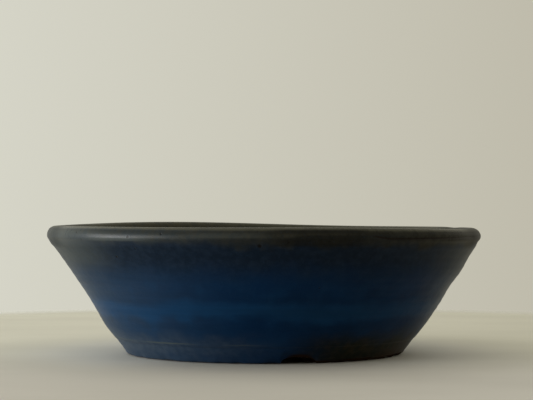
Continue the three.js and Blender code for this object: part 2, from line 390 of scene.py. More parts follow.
# Painted shade along the fold's crease
FOLD_SHADE = colour(24, 14, 5)
PIT_BROWN = colour(14, 10, 6)

# The bare clay
CLAY = (colour(84, 58, 44), colour(108, 78, 58))
CLAY_MOTTLE = colour(62, 42, 34)
GROG = colour(168, 142, 112)
DARK_SPECKS = colour(34, 24, 20)
# Painted shade under the foot ring and in its notches
UNDER_FOOT_SHADE = colour(32, 20, 7)

# Heights at which the glaze begins to change and at which it has changed
SLATE_RISE = (33 * MM, 47 * MM)
IRON_RISE = (50 * MM, 54.5 * MM)
IRON_TILT = 2 * MM  # it comes this much lower on the right, and stays as much higher on the left
# Heights at which the painted sheen on the left comes in
SHEEN_RISE = (38 * MM, 46 * MM)
ASH_FALL = (6 * MM, 15 * MM)
ASH_THINS = (2 * MM, 6 * MM)
FOOT_FALL = (7 * MM, 8 * MM)  # over the foot band, no clay shows outside
INNER_LINE = (45.5 * MM, 46.3 * MM)  # the glaze's lower edge inside
# Heights of the painted shade on the lip's lower half
LIP_SHADE_RISE = (50.5 * MM, 52 * MM)
LIP_SHADE_FALL = (54 * MM, 55.2 * MM)
CREST_RISE = (54 * MM, 55 * MM)
POOLED_RISE = (55.5 * MM, 56.5 * MM)
# Heights at which the painted shade at the lip's ends comes in, and the glaze there grows duller
ENDS_RISE = (48 * MM, 52 * MM)
GLOSS_RISE = (50 * MM, 54 * MM)
COAT_RISE = (49 * MM, 53 * MM)

# How far clouds, runs and broad patches move these heights in all
CLOUD_SWAY = 9 * MM
RUN_SWAY = 5 * MM
BROAD_SWAY = 8 * MM

# Bands: from, to, and softness. The last two are radii, and the others heights.
BLUE_RING = (19.5 * MM, 26 * MM, 2.5 * MM)
THIN_BAND = (8 * MM, 8.6 * MM, 0.3 * MM)
# Bands of the painted glow under the lip's highlight and of the painted sheen on the lip
GLOW_BAND = (53.2 * MM, 54.6 * MM, 0.4 * MM)
FRONT_SHEEN_BAND = (54.8 * MM, 56.8 * MM, 0.4 * MM)
# Band of the painted shade in the crease under the lip
GROOVE_BAND = (51.9 * MM, 53.4 * MM, 0.6 * MM)
FOLD_BAND = (FOLD_HEIGHT - 0.4 * MM, FOLD_HEIGHT + 0.4 * MM, 0.25 * MM)
LIP_CREST = (91 * MM, 98.4 * MM, 0.5 * MM)
LIP_POOLED = (98.7 * MM, 99.7 * MM, 0.4 * MM)

# Radii of the lip's outer side, and of its shine
LIP_OUTSIDE = (96 * MM, 97 * MM)
LIP_SHINE = (97.2 * MM, 98.6 * MM)

# A little right of the front the lip is darkest, with the most painted shade, and its bands lie
# further in and reach higher
DARKEST_INWARDS = 0.45 * MM
DARKER_UPWARDS = 1.3 * MM

# The glaze's lower edge outside. It lies under the ground, but climbs out at the front right.
LINE_WOBBLE = 2.2 * MM
LINE_UNDER_GROUND = 1.2 * MM
LINE_CLIMB = 2.4 * MM
LINE_SOFTNESS = 0.25 * MM
FLUSH_FALL = (0.2 * MM, 4.5 * MM)  # heights over it

# Depths in the clay, from the outer face
BARE_INSIDE = (2.6 * MM, 3.4 * MM)
BARE_UNDER = (0.9 * MM, 1.4 * MM)
# Depths over which the painted shade under the foot fades inwards
UNDER_SHADE_FALL = (3 * MM, 8 * MM)

GLAZE_ROUGHNESS = 0.36
CLAY_ROUGHNESS = 0.86


class Stoneware(RoundFinish):
    """Blue glaze that breaks to olive on the lip and to rust at the foot, over bare brown clay."""

    def __init__(self, name):
        super().__init__(name)
        self.left = -self.right
        self.broad = self.noise(38 * MM, detail=2)
        self.cloud = self.noise(15 * MM, stretch=(1, 1, 1.5))
        self.runs = self.noise(7 * MM, stretch=(1, 1, 0.3))
        self.mottle = self.noise(3.2 * MM, detail=4)
        self.wobble = (self.noise(9 * MM) - 0.5) * LINE_WOBBLE
        self.clouded = self.z + (self.cloud - 0.5) * CLOUD_SWAY
        self.flowing = self.clouded + (self.runs - 0.5) * RUN_SWAY
        over_hip = self.z - HIP_HEIGHT
        face = (over_hip * FOOT_SLOPE).math("MINIMUM", over_hip * WALL_SLOPE) + HIP_RADIUS
        self.depth = face - self.radius
        self.front_right = self.facing(-40)
        line = self.front_right.rise(0.65, 0.9) * LINE_CLIMB - LINE_UNDER_GROUND
        self.over_line = self.z + self.wobble - line
        self.at_foot = self.z.fall(*FOOT_FALL)
        self.on_lip = self.radius.rise(*LIP_OUTSIDE)
        self.left_end = self.left.rise(0.88, 0.94)
        # The lip's two ends, where painted shade darkens the glaze and the glaze is duller
        both_ends = self.right.rise(0.87, 0.95).math("MAXIMUM", self.left_end * 0.6)
        self.ends = both_ends * self.z.rise(*ENDS_RISE)
        self.pinholes = self.specks(13 * MM, 0.55 * MM, 0.3).math("MAXIMUM", self.pits(PITS))
        self.grog = self.specks(2.4 * MM, 0.35 * MM, 0.4)

    def mottled(self, colours):
        """Two close colours in small patches."""
        return self.mix(self.mottle.rise(0.35, 0.7), *colours)

    def wall_glaze(self):
        """Deep blue, greyer and lit with painted light on the left, with a bright ring low down and
        with clouds and runs.
        """
        bands = self.noise(4.5 * MM, detail=2, stretch=(0.03, 0.03, 1))
        ring = (self.clouded + (self.broad - 0.5) * BROAD_SWAY).band(*BLUE_RING)
        glaze = self.mix(self.broad.rise(0.3, 0.7), DEEP_BLUE, MID_BLUE)
        # Greyer and lighter towards the left: partly the glaze, partly painted light from the left
        glaze = self.mix(self.left.rise(0, 1.1), glaze, SLATY_AND_LIT_BLUE)
        glaze = self.mix(ring * 0.5, glaze, RING_BLUE)
        glaze = self.mix(self.cloud.rise(0.4, 0.75) * 0.25, glaze, CLOUD_BLUE)
        glaze = self.mix(self.runs.rise(0.5, 0.8) * 0.2, glaze, RUN_BLUE)
        return self.mix(bands.rise(0.45, 0.75) * 0.25, glaze, BAND_BLUE)

    def towards_lip(self, glaze):
        """Slate, and then iron, which reaches lower on the right. A painted pale sheen on the left."""
        iron = self.mix(self.right.rise(-0.7, 0.3), GREY_IRON, BROWN_IRON)
        iron = self.mix(self.mottle.rise(0.35, 0.7) * 0.5, iron, IRON_MOTTLE)
        # A painted sheen on the left of the wall, below the lip
        pale = self.left.rise(0.62, 0.86) * self.left.fall(0.94, 0.99)
        glaze = self.mix(self.flowing.rise(*SLATE_RISE) * 0.85, glaze, self.mottled(SLATE))
        glaze = self.mix((self.flowing + self.right * IRON_TILT).rise(*IRON_RISE), glaze, iron)
        return self.mix(pale * self.z.rise(*SHEEN_RISE) * 0.4, glaze, SHEEN_GREY)

    def towards_foot(self, glaze):
        """Ash and painted sheen on the left, rust and a brown flush at the front right, thin glaze and
        a painted highlight on the ledge.
        """
        low = self.flowing.fall(*ASH_FALL)
        ashy = low * (self.z.rise(*ASH_THINS) * 0.4 + 0.6)
        flush = self.over_line.fall(*FLUSH_FALL) * self.facing(-25).rise(0.95, 0.99)
        # Thin glaze on the ledge, kept to the left and fading out in front, where it is also a painted
        # highlight
        thin = (self.z + self.wobble * 0.4).band(*THIN_BAND) * self.right.fall(-0.35, 0.1)
        # Ash, strongest on the left and none on the right, where on the left it also stands in for
        # painted sheen
        glaze = self.mix(ashy * (0.22 - self.right * 0.83), glaze, self.mottled(ASH_AND_SHEEN))
        glaze = self.mix(low * self.front_right.rise(0.72, 0.97), glaze, self.mottled(RUST))
        glaze = self.mix(flush * self.mottle.rise(0.25, 0.55) * 0.7, glaze, RUST_FLUSH)
        return self.mix(thin * self.broad.rise(0.3, 0.55) * 0.7, glaze, THIN_AND_HIGHLIT_GREY)

    def on_rim(self, glaze):
        """Olive on the crest, dark where it pooled, painted shade low down, at the ends and in
        creases, painted pale sheen between.
        """
        darkest = self.right.band(0.04, 0.42, 0.06)
        inwards = self.radius + darkest * DARKEST_INWARDS
        crest = inwards.band(*LIP_CREST) * self.z.rise(*CREST_RISE)
        pooled = inwards.band(*LIP_POOLED) * self.z.rise(*POOLED_RISE)
        # A painted glow under the lip's highlight on the left, and a painted sheen on the lip at the
        # front left
        rubbed = self.left.band(0.52, 0.76, 0.08) * self.z.band(*GLOW_BAND) * self.on_lip
        front_sheen = self.right.band(-0.3, 0, 0.06) * self.z.band(*FRONT_SHEEN_BAND) * self.on_lip
        # Painted shade in the crease under the lip at the right
        groove_shade = self.right.rise(0.72, 0.85) * self.z.band(*GROOVE_BAND) * self.on_lip
        glaze = self.mix(crest * (self.mottle.rise(0.3, 0.6) * 0.3 + 0.55), glaze, CREST_OLIVE)
        glaze = self.mix(pooled * (darkest * 0.35 + 0.35), glaze, POOLED_BLACK)
        # Painted shade on the lip's lower half, darkest a little right of the front
        shade = self.mix(darkest, LIP_SHADE_BLUE, LIP_SHADE_BLACK)
        glaze = self.mix(self.lip_shade() * (darkest * 0.35 + 0.35), glaze, shade)
        glaze = self.mix(rubbed * 0.5, glaze, GLOW_GREY)
        glaze = self.mix(front_sheen * 0.15, glaze, GLOW_GREY)
        # Painted shade at the lip's two ends
        glaze = self.mix(self.ends * 0.6, glaze, END_SHADE)
        glaze = self.mix(groove_shade * 0.6, glaze, GROOVE_SHADE)
        return self.mix(self.folded() * 0.9, glaze, FOLD_SHADE)

    def lip_shade(self):
        """Painted shade on the lip's lower half in front, and a little more of it further right."""
        reach = self.z - self.right.rise(0.06, 0.2) * DARKER_UPWARDS
        low = self.z.rise(*LIP_SHADE_RISE) * reach.fall(*LIP_SHADE_FALL) * self.on_lip
        return low * self.right.rise(-0.27, -0.2) * self.right.fall(0.5, 0.7)

    def folded(self):
        """Painted shade along the crease at the front right, in step with the one in the clay."""
        climb = self.right.fall(0.45, 0.54) * FOLD_CLIMB
        line = (self.z - climb).band(*FOLD_BAND) * self.right.band(0.46, 0.94, 0.02)
        return line * self.back.fall(-0.35, -0.25) * self.on_lip

    def flecked(self, glaze):
        """Dark pinholes, and a fine grain of paler blue."""
        grain = self.noise(0.7 * MM, detail=2)
        glaze = self.mix(self.pinholes * 0.9, glaze, PIT_BROWN)
        return self.mix(grain.rise(0.55, 0.8) * 0.18, glaze, GRAIN_BLUE)

    def bare(self):
        """1 where clay shows: inside, under the foot, and under the glaze's lower edge."""
        inner_line = self.z + self.wobble * 3
        inside = self.depth.rise(*BARE_INSIDE) * inner_line.fall(*INNER_LINE)
        under = self.depth.rise(*BARE_UNDER) * self.at_foot
        low = self.over_line.fall(-LINE_SOFTNESS, LINE_SOFTNESS) * self.at_foot
        return inside.math("MAXIMUM", under).math("MAXIMUM", low)

    def clay(self):
        """Brown clay with pale grog and dark specks, with painted shade under the foot ring and in its
        notches.
        """
        dark = self.specks(3.1 * MM, 0.3 * MM, 0.35)
        # Painted shade under the foot ring and in its notches
        under_foot_shade = self.depth.fall(*UNDER_SHADE_FALL) * self.at_foot
        clay = self.mix(self.broad.rise(0.35, 0.65), *CLAY)
        clay = self.mix(self.mottle.rise(0.45, 0.75) * 0.4, clay, CLAY_MOTTLE)
        clay = self.mix(self.grog * 0.7, clay, GROG)
        clay = self.mix(dark * 0.8, clay, DARK_SPECKS)
        return self.mix(under_foot_shade * 0.9, clay, UNDER_FOOT_SHADE)

    def relief(self, bare):
        """Soft peel and pinholes in the glaze, scratches and grit in the clay."""
        peel = self.noise(1.1 * MM, detail=1) * 0.05 + self.mottle * 0.12 - self.pinholes * 0.35
        peel = peel + self.noise(0.35 * MM, detail=1) * 0.015
        scratch = self.noise(1.6 * MM, stretch=(0.12, 0.12, 1)) * 0.2
        grit = self.noise(0.5 * MM) * 0.22 + self.grog * 0.1
        return peel * (1 - bare) + (scratch + grit - 0.35) * bare

    def glaze_roughness(self):
        """Glossier on the lip, duller at its two ends."""
        uneven = (self.mottle - 0.5) * 0.12
        return GLAZE_ROUGHNESS + uneven - self.z.rise(*GLOSS_RISE) * 0.08 + self.ends * 0.15

    def coat(self):
        """The shine on the lip's outer edge, weaker towards the right."""
        on_edge = self.z.rise(*COAT_RISE) * self.radius.rise(*LIP_SHINE)
        return on_edge * (0.3 - self.right * 0.22) * (1 - self.left_end) * self.right.fall(0.5, 0.85)


def glazed_stoneware():
    """The body's finish, glaze and clay, with a soft shine."""
    f = Stoneware("blue_glazed_stoneware")
    bare = f.bare()
    glaze = f.towards_foot(f.towards_lip(f.wall_glaze()))
    glaze = f.flecked(f.on_rim(glaze))
    f.surface(
        Base_Color=f.mix(bare, glaze, f.clay()),
        Roughness=f.glaze_roughness() * (1 - bare) + bare * CLAY_ROUGHNESS,
        Specular_IOR_Level=0.06,
        Coat_Weight=f.coat(),
        Coat_IOR=1.3,
        Coat_Roughness=0.38,
        Normal=f.bump(f.relief(bare), 1 * MM, 0.6),
    )
    return f.material


# Netting and wire
NETTING_BLACK = colour(26, 27, 28)
DUST = colour(70, 66, 60)
COPPER = colour(150, 88, 60)
RUBBED_COPPER = colour(196, 140, 108)


def moulded_plastic():
    """Black netting with a matt moulded skin, a little dusty."""
    f = Finish("black_moulded_netting")
    dust = f.noise(6 * MM).rise(0.45, 0.75) * f.noise(0.8 * MM, detail=2).rise(0.4, 0.7)
    skin = f.noise(0.35 * MM)
    f.surface(
        Base_Color=f.mix(dust * 0.5, NETTING_BLACK, DUST),
        Roughness=0.52 + skin * 0.2 + dust * 0.15,
        Normal=f.bump(skin, 0.05 * MM, 0.5),
    )
    return f.material


def drawn_wire():
    """Copper-coloured aluminium wire, drawn, with bright rubbed patches."""
    f = Finish("copper_coloured_wire")
    rubbed = f.noise(3 * MM).rise(0.5, 0.72)
    drawn = f.noise(0.25 * MM)
    f.surface(
        Base_Color=f.mix(rubbed, COPPER, RUBBED_COPPER),
        Metallic=1.0,
        Roughness=0.34 + drawn * 0.18 - rubbed * 0.08,
        Normal=f.bump(drawn, 0.03 * MM, 0.5),
    )
    return f.material


# Shapes


def new_object(name, maker, finish):
    """Makes a bmesh an object of the scene, in its finish."""
    mesh = bpy.data.meshes.new(name)
    maker.to_mesh(mesh)
    maker.free()
    mesh.materials.append(finish)
    made = bpy.data.objects.new(name, mesh)
    bpy.context.collection.objects.link(made)
    return made


def new_piece(name, maker, finish, slot, *nodes):
    """A named piece from a bmesh, in its finish, in place of the solids that it stands for."""
    piece = new_object(name, maker, finish)
    piece.data.shade_smooth()
    piece.data.set_sharp_from_angle(angle=math.radians(SHARP_ANGLE))
    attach(piece, "root")
    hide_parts(*nodes)
    return piece


def closed(maker):
    """Merges the points that fell on one place, and turns all faces outwards."""
    bmesh.ops.remove_doubles(maker, verts=maker.verts, dist=SAME_POINT)
    bmesh.ops.recalc_face_normals(maker, faces=maker.faces)


def turned(section, steps):
    """A solid of revolution round Z from a section that starts and ends on the axis."""
    maker = bmesh.new()
    verts = [maker.verts.new((p.x, 0, p.y)) for p in section]
    edges = [maker.edges.new(pair) for pair in zip(verts, verts[1:])]
    bmesh.ops.spin(
        maker, geom=verts + edges, cent=(0, 0, 0), axis=(0, 0, 1), angle=2 * math.pi,
        steps=steps, use_merge=True,
    )
    closed(maker)
    return maker


def only(kind, geometry):
    """The parts of one kind in what an operator gave back, such as its points."""
    return [part for part in geometry if isinstance(part, kind)]


def smooth(low, high, value):
    """0 under low, 1 over high, and smooth between them."""
    share = min(max((value - low) / (high - low), 0), 1)
    return share * share * (3 - 2 * share)


def swell(place, middle, half_width, size):
    """A soft rise round one height or direction."""
    return size * math.exp(-(((place - middle) / half_width) ** 2))


def wave(angle, count, size, at):
    """A slow wave round the pot, with a crest in the direction at."""
    return size * math.cos(count * (angle - math.radians(at)))


def turns(place, spacing):
    """The angle that a wave with this spacing has reached at a place."""
    return 2 * math.pi * place / spacing


def turned_by(degrees, distance=0, height=0):
    """The place of something that lies at a distance from the pot's axis, in a direction."""
    turn = Matrix.Rotation(math.radians(degrees), 4, "Z")
    return turn @ Matrix.Translation((distance, 0, height))


# The body


def straight(start, end, step=FINE_STEP):
    """Points from start to end, without start."""
    steps = max(1, round((end - start).length / step))
    return [start.lerp(end, i / steps) for i in range(1, steps + 1)]


def rounded(points, corner, after, distance):
    """Adds a corner to the section, rounded over the distance along each of its sides."""
    here = points[-1]
    begin = corner.lerp(here, distance / (corner - here).length)
    end = corner.lerp(after, distance / (corner - after).length)
    points += straight(here, begin, FLAT_STEP if here.y == corner.y else FINE_STEP)
    for i in range(1, ROUND_STEPS + 1):
        share = i / ROUND_STEPS
        points.append(begin.lerp(corner, share).lerp(corner.lerp(end, share), share))


def body_section():
    """From the middle of the underside, round the foot ring, over the lip, to the floor's middle."""
    lip_radius = (WALL + LIP_SWELL) / 2
    lip = Vector((RIM_RADIUS - lip_radius, HEIGHT - lip_radius))
    crease_turn = -math.radians(LIP_CREASE_ANGLE)
    outward = Vector((math.cos(crease_turn), math.sin(crease_turn)))
    ring_inside = Vector((FOOT_RADIUS - FOOT_WIDTH, RECESS))
    ring_inner = Vector((ring_inside.x + RECESS_DRAFT, 0))
    ring_outer = Vector((FOOT_RADIUS, 0))
    hip = Vector((HIP_RADIUS, HIP_HEIGHT))
    crease = lip + outward * (lip_radius - LIP_CREASE)
    up = (crease - hip).normalized()
    inward = Vector((-up.y, up.x))
    inner_wall = hip + inward * WALL
    floor_edge = inner_wall + up * ((FLOOR_TOP - inner_wall.y) / up.y)
    lip_inset = -(lip - inner_wall).dot(inward)
    lip_end = math.atan2(inward.y, inward.x) + math.acos(lip_inset / lip_radius)

    points = [Vector((0, RECESS))]
    rounded(points, ring_inside, ring_inner, RECESS_ROUND)
    rounded(points, ring_inner, ring_outer, FOOT_EDGE)
    rounded(points, ring_outer, hip, FOOT_EDGE)
    band_top = ring_outer.lerp(hip, FOOT_BAND / HIP_HEIGHT)
    points += straight(points[-1], band_top + Vector((-FOOT_LEDGE / 2, -FOOT_LEDGE / 4)))
    points += straight(points[-1], band_top + Vector((FOOT_LEDGE / 2, FOOT_LEDGE / 2)), LEDGE_STEP)
    rounded(points, hip, crease, HIP_ROUND)
    points += straight(points[-1], crease)
    for i in range(1, LIP_STEPS + 1):
        turn = (lip_end - crease_turn) * i / LIP_STEPS
        swollen = lip_radius - LIP_CREASE * (1 - smooth(0, math.radians(LIP_EASE), turn))
        angle = crease_turn + turn
        points.append(lip + swollen * Vector((math.cos(angle), math.sin(angle))))
    rounded(points, floor_edge, Vector((0, FLOOR_TOP)), FLOOR_ROUND)
    points += straight(points[-1], Vector((0, FLOOR_TOP)), FLAT_STEP)
    return points


def depth_in_wall(radius, height):
    """How far a point lies inside the outer face, measured level."""
    slope = FOOT_SLOPE if height < HIP_HEIGHT else WALL_SLOPE
    return HIP_RADIUS + slope * (height - HIP_HEIGHT) - radius


def lumps(place):
    """Uneven clay: large lumps, and small ones on them."""
    small = SMALL_LUMPS * noise.noise(place / SMALL_LUMP_SIZE)
    return LUMP * (noise.noise(place / LUMP_SIZE) + small)


def fold(angle, height):
    """The crease that is left where the lip was folded over at the front right."""
    degrees = math.degrees(angle)
    curled = smooth(FOLD_FROM, FOLD_FROM + FOLD_CURL, degrees)
    line = FOLD_HEIGHT + FOLD_CLIMB * (1 - curled)
    along = curled * (1 - smooth(FOLD_TO - FOLD_CURL, FOLD_TO, degrees))
    return swell(height, line, FOLD_HALF_WIDTH, FOLD_DEPTH * along)


def swells(angle, height):
    """The outer face's swells and hollows: at the hip all round, the others on some sides."""
    right = math.cos(angle)
    out = swell(height, *HIP_SWELL)
    out += swell(height, *FOOT_SWELL) * (1 - smooth(0.8, 1, right))
    out += swell(height, *NECK_SWELL) * (1 - right) / 2
    return out - swell(height, *NECK_HOLLOW) * smooth(0.5, 0.95, right)


def floor_marks(angle, radius, height):
    """How far rings move a point up: finger rings on the floor, or paring rings under it."""
    if height > FLOOR_TOP - NEAR:
        return -FLOOR_RING * (1 + math.cos(turns(radius, INNER_RING_SPACING) - angle))
    pared = 1 + math.cos(turns(radius, PARING_SPACING))
    return PARING_RING * pared * smooth(RECESS - 2 * NEAR, RECESS, height)


def small_marks(angle, radius, place, lift):
    """How far the small marks move a point of the turned form: outwards, and upwards."""
    height = place.z
    depth = depth_in_wall(radius, height)
    inside = depth > WALL / 2
    if inside and height < FLOOR_TOP + NEAR:
        return 0, floor_marks(angle, radius, height)
    marked = smooth(*MARKS_BEGIN, height)
    below_lip = 1 - smooth(*MARKS_END, height)
    uneven = lumps(place) * (LUMPS_ON_LIP + (1 - LUMPS_ON_LIP) * below_lip) * marked
    if inside:
        spiral = math.sin(turns(height, INNER_RING_SPACING) + angle)
        return uneven + INNER_RING * spiral * marked * below_lip, 0
    rings = OUTER_RING * math.sin(turns(height, OUTER_RING_SPACING)) * marked * below_lip
    out = uneven + rings + swells(angle, height) - fold(angle, height + lift)
    out -= SETTLING * (1 - below_lip)
    worn = EDGE_WEAR * max(0, noise.noise(place / WEAR_SIZE) + WEAR_SPREAD)
    worn *= 1 - smooth(*WEAR_FADE, height)
    return out - worn, worn * smooth(WALL / 2, 0, depth)


def by_hand(place):
    """Where the maker's hand left a point of the turned form."""
    angle = math.atan2(place.y, place.x)
    radius = math.hypot(place.x, place.y)
    share = min(max((place.z - HIP_HEIGHT) / (HEIGHT - HIP_HEIGHT), 0), 1)
    grown = smooth(0, 1, share)
    lift = sum(wave(angle, *lip_wave) for lip_wave in LIP_WAVES) - SETTLING
    lift += sum(swell(math.degrees(angle), *dent) for dent in LIP_DENTS)
    lift *= grown
    out, more_lift = small_marks(angle, radius, place, lift)
    crests = math.cos(turns(place.z - THROWING_CREST, THROWING_SPACING))
    out += (THROWING_WAVE + wave(angle, *THROWING_SWING)) * crests * math.sin(math.pi * share)
    out -= (WALL_HOLLOW + wave(angle, *HOLLOW_SWING)) * math.sin(math.pi * share**HOLLOW_SKEW)
    out += (wave(angle, *LEAN) + wave(angle, *OVAL)) * grown
    stretch = (radius + out) / radius if radius > 0 else 1
    return Vector((place.x * stretch, place.y * stretch, place.z + lift + more_lift))


def crowded(place):
    """Draws the columns of faces closer together where the notches will be."""
    around = HOLE_COUNT * (math.atan2(place.y, place.x) - math.radians(NOTCH_FIRST))
    closer = Matrix.Rotation(-NOTCH_CROWDING / HOLE_COUNT * math.sin(around), 3, "Z")
    return closer @ place


def notched(place):
    """Presses a low arch up into the foot ring at each notch."""
    angle = math.atan2(place.y, place.x)
    away = math.remainder(angle - math.radians(NOTCH_FIRST), math.radians(HOLE_TURN))
    radius = math.hypot(place.x, place.y)
    share = abs(radius * math.sin(away)) / (NOTCH_WIDTH / 2)
    if share >= 1 or place.z >= RECESS or radius < FOOT_RADIUS - FOOT_WIDTH - RECESS_ROUND:
        return place
    arch = NOTCH_HEIGHT * (1 - share**NOTCH_FULLNESS) ** (1 / NOTCH_FULLNESS)
    return Vector((place.x, place.y, arch + place.z * (RECESS - arch) / RECESS))


def hole_section(radius, softening):
    """A cutter's section for a hole through the floor, with its edges wiped round."""
    wide = radius + softening
    quarter = [math.pi / 2 * i / ROUND_STEPS for i in range(ROUND_STEPS + 1)]
    low = [
        Vector((wide - softening * math.sin(t), RECESS + softening * (1 - math.cos(t))))
        for t in quarter
    ]
    high = [Vector((p.x, RECESS + FLOOR_TOP - p.y)) for p in reversed(low)]
    ends = (RECESS - WALL, FLOOR_TOP + WALL)
    return [
        Vector((0, ends[0])), Vector((wide, ends[0])), *low,
        *high, Vector((wide, ends[1])), Vector((0, ends[1])),
    ]


def hole_cutters():
    """All the cutters for the floor's holes, as one mesh."""
    joined = bpy.data.meshes.new("cutters")
    cutters = bmesh.new()
    kinds = (
        (DRAIN_RADIUS, DRAIN_SOFTENING, drain_circle(), DRAIN_FIRST),
        (TIE_RADIUS, TIE_SOFTENING, TIE_CIRCLE, DRAIN_FIRST + HOLE_TURN / 2),
    )
    for radius, softening, circle, first in kinds:
        for i in range(HOLE_COUNT):
            cutter = turned(hole_section(radius, softening), HOLE_STEPS)
            cutter.transform(turned_by(first + i * HOLE_TURN, circle))
            cutter.to_mesh(joined)
            cutter.free()
            cutters.from_mesh(joined)
    cutters.to_mesh(joined)
    cutters.free()
    return joined


def drain_circle():
    """Distance of the drain holes from the pot's axis, from the solid screen behind the middle."""
    low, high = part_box("drain_screen_1")
    return (low.y + high.y) / 2


def cut_away(piece, cutters):
    """Cuts the cutters' solids out of a piece, for good."""
    tool = bpy.data.objects.new("cutters", cutters)
    bpy.context.collection.objects.link(tool)
    cut = piece.modifiers.new("holes", "BOOLEAN")
    cut.operation = "DIFFERENCE"
    cut.solver = "MANIFOLD"
    cut.object = tool
    evaluated = piece.evaluated_get(bpy.context.evaluated_depsgraph_get())
    mesh = bpy.data.meshes.new_from_object(evaluated)
    piece.modifiers.clear()
    piece.data = mesh
    bpy.data.objects.remove(tool)
    mesh.set_sharp_from_angle(angle=math.radians(SHARP_ANGLE))


def pot():
    """The body, shaped by hand from its turned form and then cut for its holes."""
    body = turned(body_section(), TURN_STEPS)
    for vert in body.verts:
        vert.co = notched(by_hand(crowded(vert.co)))
    piece = new_piece("pot", body, glazed_stoneware(), "blue_glaze", "pot_body")
    cut_away(piece, hole_cutters())


# Screens and clips


def net():
    """A flat square net of rounded strands, lying on the height 0 round the origin."""
    maker = bmesh.new()
    cells = 2 * OPENINGS + 1
    bmesh.ops.create_grid(maker, x_segments=cells, y_segments=cells, size=cells / 2)
    half = (OPENINGS * PITCH + SCREEN_STRAND) / 2

    def line_place(number):
        return PITCH * (number // 2) + SCREEN_STRAND * (number % 2) - half

    gaps = []
    for face in maker.faces:
        column, row = (int(v + cells / 2) for v in face.calc_center_median().xy)
        if column % 2 and row % 2:
            gaps.append(face)
    for vert in maker.verts:
        column, row = (round(v + cells / 2) for v in vert.co.xy)
        vert.co = Vector((line_place(column), line_place(row), 0))
    bmesh.ops.delete(maker, geom=gaps, context="FACES")
    raised = bmesh.ops.extrude_face_region(maker, geom=maker.faces[:])["geom"]
    top = only(bmesh.types.BMVert, raised)
    bmesh.ops.translate(maker, verts=top, vec=(0, 0, SCREEN_THICKNESS))
    bmesh.ops.recalc_face_normals(maker, faces=maker.faces)
    sharp = math.radians(SHARP_ANGLE)
    edges = [e for e in maker.edges if e.is_manifold and e.calc_face_angle() > sharp]
    bmesh.ops.bevel(
        maker, geom=edges, offset=SCREEN_EDGE, segments=3, affect="EDGES", profile=0.5, material=-1,
        clamp_overlap=True,
    )
    return maker


def grown_ring(maker, ring, move):
    """Draws a wire straight on from its last ring of edges."""
    drawn = bmesh.ops.extrude_edge_only(maker, edges=ring)["geom"]
    bmesh.ops.translate(maker, verts=only(bmesh.types.BMVert, drawn), vec=move)
    return only(bmesh.types.BMEdge, drawn)


def bent_ring(maker, ring, centre, axis, degrees, steps, climb=0.0):
    """Bends a wire on from its last ring of edges, round an axis, climbing as it goes."""
    verts = list(dict.fromkeys(v for e in ring for v in e.verts))
    bent = bmesh.ops.spin(
        maker, geom=verts + ring, cent=centre, axis=axis, angle=math.radians(degrees),
        steps=steps, dvec=(0, 0, climb / steps),
    )["geom_last"]
    return only(bmesh.types.BMEdge, bent)


def half_clip():
    """From the middle of the wire's straight part, round a loop, down a leg and out along a toe."""
    lying = FLOOR_TOP + SEAT + SCREEN_THICKNESS + SEAT + WIRE_RADIUS
    over = lying + 2 * WIRE_RADIUS + SEAT
    under = RECESS - SEAT - WIRE_RADIUS
    leg = Vector((-LEG_OPENINGS * PITCH, -PITCH, 0))
    loop = Vector((leg.x - CLIP_LOOP, CLIP_LOOP, lying))
    maker = bmesh.new()
    across = Matrix.Translation((0, 0, lying)) @ Matrix.Rotation(math.radians(90), 4, "Y")
    bmesh.ops.create_circle(maker, segments=WIRE_SIDES, radius=WIRE_RADIUS, matrix=across)
    ring = grown_ring(maker, maker.edges[:], (loop.x, 0, 0))
    ring = bent_ring(maker, ring, loop, (0, 0, -1), LOOP_FLAT, LOOP_FLAT // LOOP_STEP)
    climbing = LOOP_TURN - LOOP_FLAT
    ring = bent_ring(maker, ring, loop, (0, 0, -1), climbing, climbing // LOOP_STEP, over - lying)
    ring = grown_ring(maker, ring, (0, leg.y + CLIP_BEND - CLIP_LOOP, 0))
    down = Vector((leg.x, leg.y + CLIP_BEND, over - CLIP_BEND))
    ring = bent_ring(maker, ring, down, (1, 0, 0), 90, BEND_STEPS)
    ring = grown_ring(maker, ring, (0, 0, under - over + 2 * CLIP_BEND))
    outwards = Vector((leg.x - CLIP_BEND, leg.y, under + CLIP_BEND))
    ring = bent_ring(maker, ring, outwards, (0, 1, 0), 90, BEND_STEPS)
    ring = grown_ring(maker, ring, (CLIP_BEND - CLIP_TOE, 0, 0))
    end = bmesh.ops.contextual_create(maker, geom=ring)["faces"]
    bmesh.ops.bevel(
        maker, geom=ring + end, offset=WIRE_RADIUS / 4, segments=2, affect="EDGES", profile=0.5,
        material=-1,
    )
    return maker


def clip():
    """One bent wire, with the middle of its straight part at the origin's X and Y."""
    maker = half_clip()
    half = maker.verts[:] + maker.edges[:] + maker.faces[:]
    other = bmesh.ops.duplicate(maker, geom=half)["geom"]
    half_turn = Matrix.Rotation(math.pi, 3, "Z")
    verts = only(bmesh.types.BMVert, other)
    bmesh.ops.rotate(maker, verts=verts, cent=(0, 0, 0), matrix=half_turn)
    closed(maker)
    return maker


def screens_and_clips():
    """A screen and a clip at each drain hole."""
    plastic = moulded_plastic()
    wire = drawn_wire()
    for i in range(HOLE_COUNT):
        number = i + 1
        place = turned_by(DRAIN_FIRST + i * HOLE_TURN, drain_circle())
        place = place @ Matrix.Rotation(math.radians(90), 4, "Z")
        screen = net()
        screen.transform(place @ Matrix.Translation((0, 0, FLOOR_TOP + SEAT)))
        new_piece(f"screen_{number}", screen, plastic, "black_netting", f"drain_screen_{number}")
        bent = clip()
        bent.transform(place)
        new_piece(f"clip_{number}", bent, wire, "clip_wire", f"screen_clip_{number}")


# Stage, lights and camera

